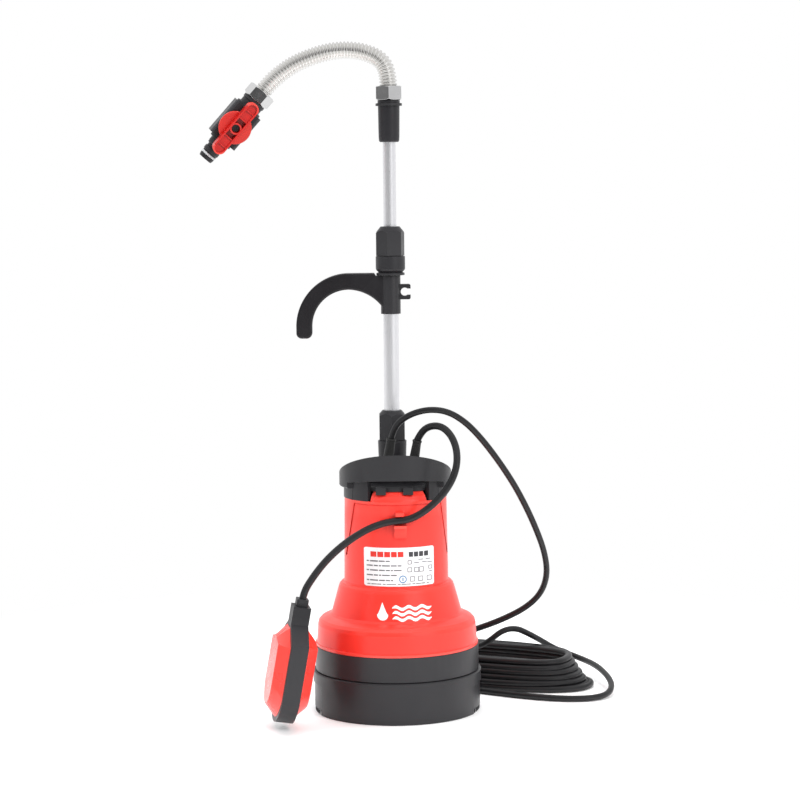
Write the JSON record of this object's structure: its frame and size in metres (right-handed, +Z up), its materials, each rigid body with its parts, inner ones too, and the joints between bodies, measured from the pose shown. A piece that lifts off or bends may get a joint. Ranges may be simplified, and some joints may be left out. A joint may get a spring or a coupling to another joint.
{
  "type": "submersible rain barrel pump",
  "caption": "Submersible rain-barrel pump with float switch, telescopic riser, hanging hook, bendable metal hose and shut-off valve.",
  "frame": {"origin": "on the floor under the pump's vertical axis, at the centre of the strainer foot", "axes": "+Z up along the pump; the label and carrying grip face -Y; the outlet hose bends towards -X"},
  "size_m": [0.4359, 0.367, 0.6998],
  "materials": {
    "black_plastic": "fine satin moulded",
    "hook_plastic": "satin",
    "valve_plastic": "satin",
    "red_plastic": "semi-gloss moulded",
    "lever_red": "semi-gloss",
    "float_red": "semi-gloss",
    "float_black": "satin",
    "inner_plastic": "plain",
    "label_film": "printed film",
    "tube_aluminium": "drawn satin",
    "chrome_nut": "bright plated",
    "hose_steel": "bright corrugated",
    "steel": "plain",
    "core_steel": "laminated",
    "copper_winding": "enamelled wire",
    "capacitor_shell": "plain",
    "ball_brass": "plated",
    "seal_rubber": "matte",
    "oring_grey": "matte",
    "seat_white": "plain",
    "float_cord_rubber": "matte",
    "mains_cord_rubber": "matte",
    "plug_rubber": "matte"
  },
  "bodies": {
    "pump": {"base_strainer": "black_plastic", "base_ring": "black_plastic", "suction_cover": "inner_plastic", "volute_casing": "inner_plastic", "chamber_gasket": "seal_rubber", "base_screws": "steel", "shaft_seal": "seal_rubber", "lower_bearing": "steel", "upper_bearing": "steel", "motor_can": "steel", "bearing_plate": "inner_plastic", "can_cap": "inner_plastic", "stator_core": "core_steel", "stator_windings": "copper_winding", "run_capacitor": "capacitor_shell", "outer_housing": "red_plastic", "rating_label": "label_film", "top_lid": "black_plastic", "carry_handle": "black_plastic", "mains_gland": "seal_rubber", "float_gland": "seal_rubber", "outlet_fitting": "black_plastic", "lower_seal": "seal_rubber", "lower_tube": "tube_aluminium", "tube_collar": "black_plastic", "clamp_ring": "inner_plastic", "guide_bush": "inner_plastic", "float_cord_fixed": "float_cord_rubber", "mains_cord": "mains_cord_rubber", "mains_coil": "mains_cord_rubber", "mains_plug": "plug_rubber"},
    "rotor": {"motor_shaft": "steel", "rotor_core": "core_steel", "impeller": "inner_plastic", "impeller_nut": "steel"},
    "lower_nut": {"lower_lock_nut": "black_plastic"},
    "upper_nut": {"upper_lock_nut": "black_plastic"},
    "hook": {"hanging_hook": "hook_plastic"},
    "upper_riser": {"upper_tube": "tube_aluminium", "tube_stop": "tube_aluminium", "hose_adapter": "black_plastic", "hose_washer_top": "seal_rubber"},
    "top_union": {"hose_nut_top": "chrome_nut"},
    "hose": {"flex_hose": "hose_steel", "hose_washer_end": "seal_rubber"},
    "end_union": {"hose_nut_end": "chrome_nut"},
    "valve": {"valve_body": "valve_plastic", "valve_seats": "seat_white", "quick_nipple": "valve_plastic", "nipple_oring": "oring_grey"},
    "lever": {"valve_lever": "lever_red", "lever_screw": "steel", "valve_stem": "ball_brass", "valve_ball": "ball_brass"},
    "float": {"float_band": "float_black", "float_shell_left": "float_red", "float_shell_right": "float_red", "float_switch": "inner_plastic", "float_cord_swing": "float_cord_rubber"},
    "switch_ball": {"float_ball": "steel"}
  },
  "joints": [
    {"name": "rotor_spin", "type": "hinge", "parent": "pump", "child": "rotor", "pos_m": [0, 0, 0], "axis": [0, 0, 1], "continuous": true},
    {"name": "lower_nut_turn", "type": "hinge", "parent": "pump", "child": "lower_nut", "pos_m": [-0.0028, 0.017, 0.3], "axis": [0, 0, 1], "range_deg": [0, 180]},
    {"name": "upper_nut_turn", "type": "hinge", "parent": "pump", "child": "upper_nut", "pos_m": [-0.0028, 0.017, 0.49], "axis": [0, 0, 1], "range_deg": [0, 180]},
    {"name": "hook_slide", "type": "slide", "parent": "pump", "child": "hook", "axis": [0, 0, 1], "range_m": [-0.1, 0]},
    {"name": "riser_slide", "type": "slide", "parent": "pump", "child": "upper_riser", "axis": [0, 0, 1], "range_m": [-0.085, 0.09]},
    {"name": "hose_swivel", "type": "hinge", "parent": "upper_riser", "child": "hose", "pos_m": [-0.0028, 0.017, 0.65], "axis": [0, 0, 1], "range_deg": [-170, 170]},
    {"name": "top_union_turn", "type": "hinge", "parent": "upper_riser", "child": "top_union", "pos_m": [-0.0028, 0.017, 0.645], "axis": [0, 0, 1], "range_deg": [0, 180]},
    {"name": "end_union_turn", "type": "hinge", "parent": "hose", "child": "end_union", "pos_m": [-0.1376, 0.017, 0.6446], "axis": [-0.6652, 0, -0.7466], "range_deg": [0, 180]},
    {"name": "valve_swivel", "type": "hinge", "parent": "hose", "child": "valve", "pos_m": [-0.1376, 0.017, 0.6446], "axis": [-0.6652, 0, -0.7466], "range_deg": [-90, 90]},
    {"name": "lever_turn", "type": "hinge", "parent": "valve", "child": "lever", "pos_m": [-0.16487, 0.017, 0.61399], "axis": [0.1552, -0.9781, -0.1383], "range_deg": [0, 90]},
    {"name": "float_swing", "type": "hinge", "parent": "pump", "child": "float", "pos_m": [-0.006, -0.059, 0.2069], "axis": [0, 1, 0], "range_deg": [0, 100]},
    {"name": "switch_ball_roll", "type": "slide", "parent": "float", "child": "switch_ball", "axis": [0.1788, 0, 0.9839], "range_m": [0, 0.015]}
  ]
}
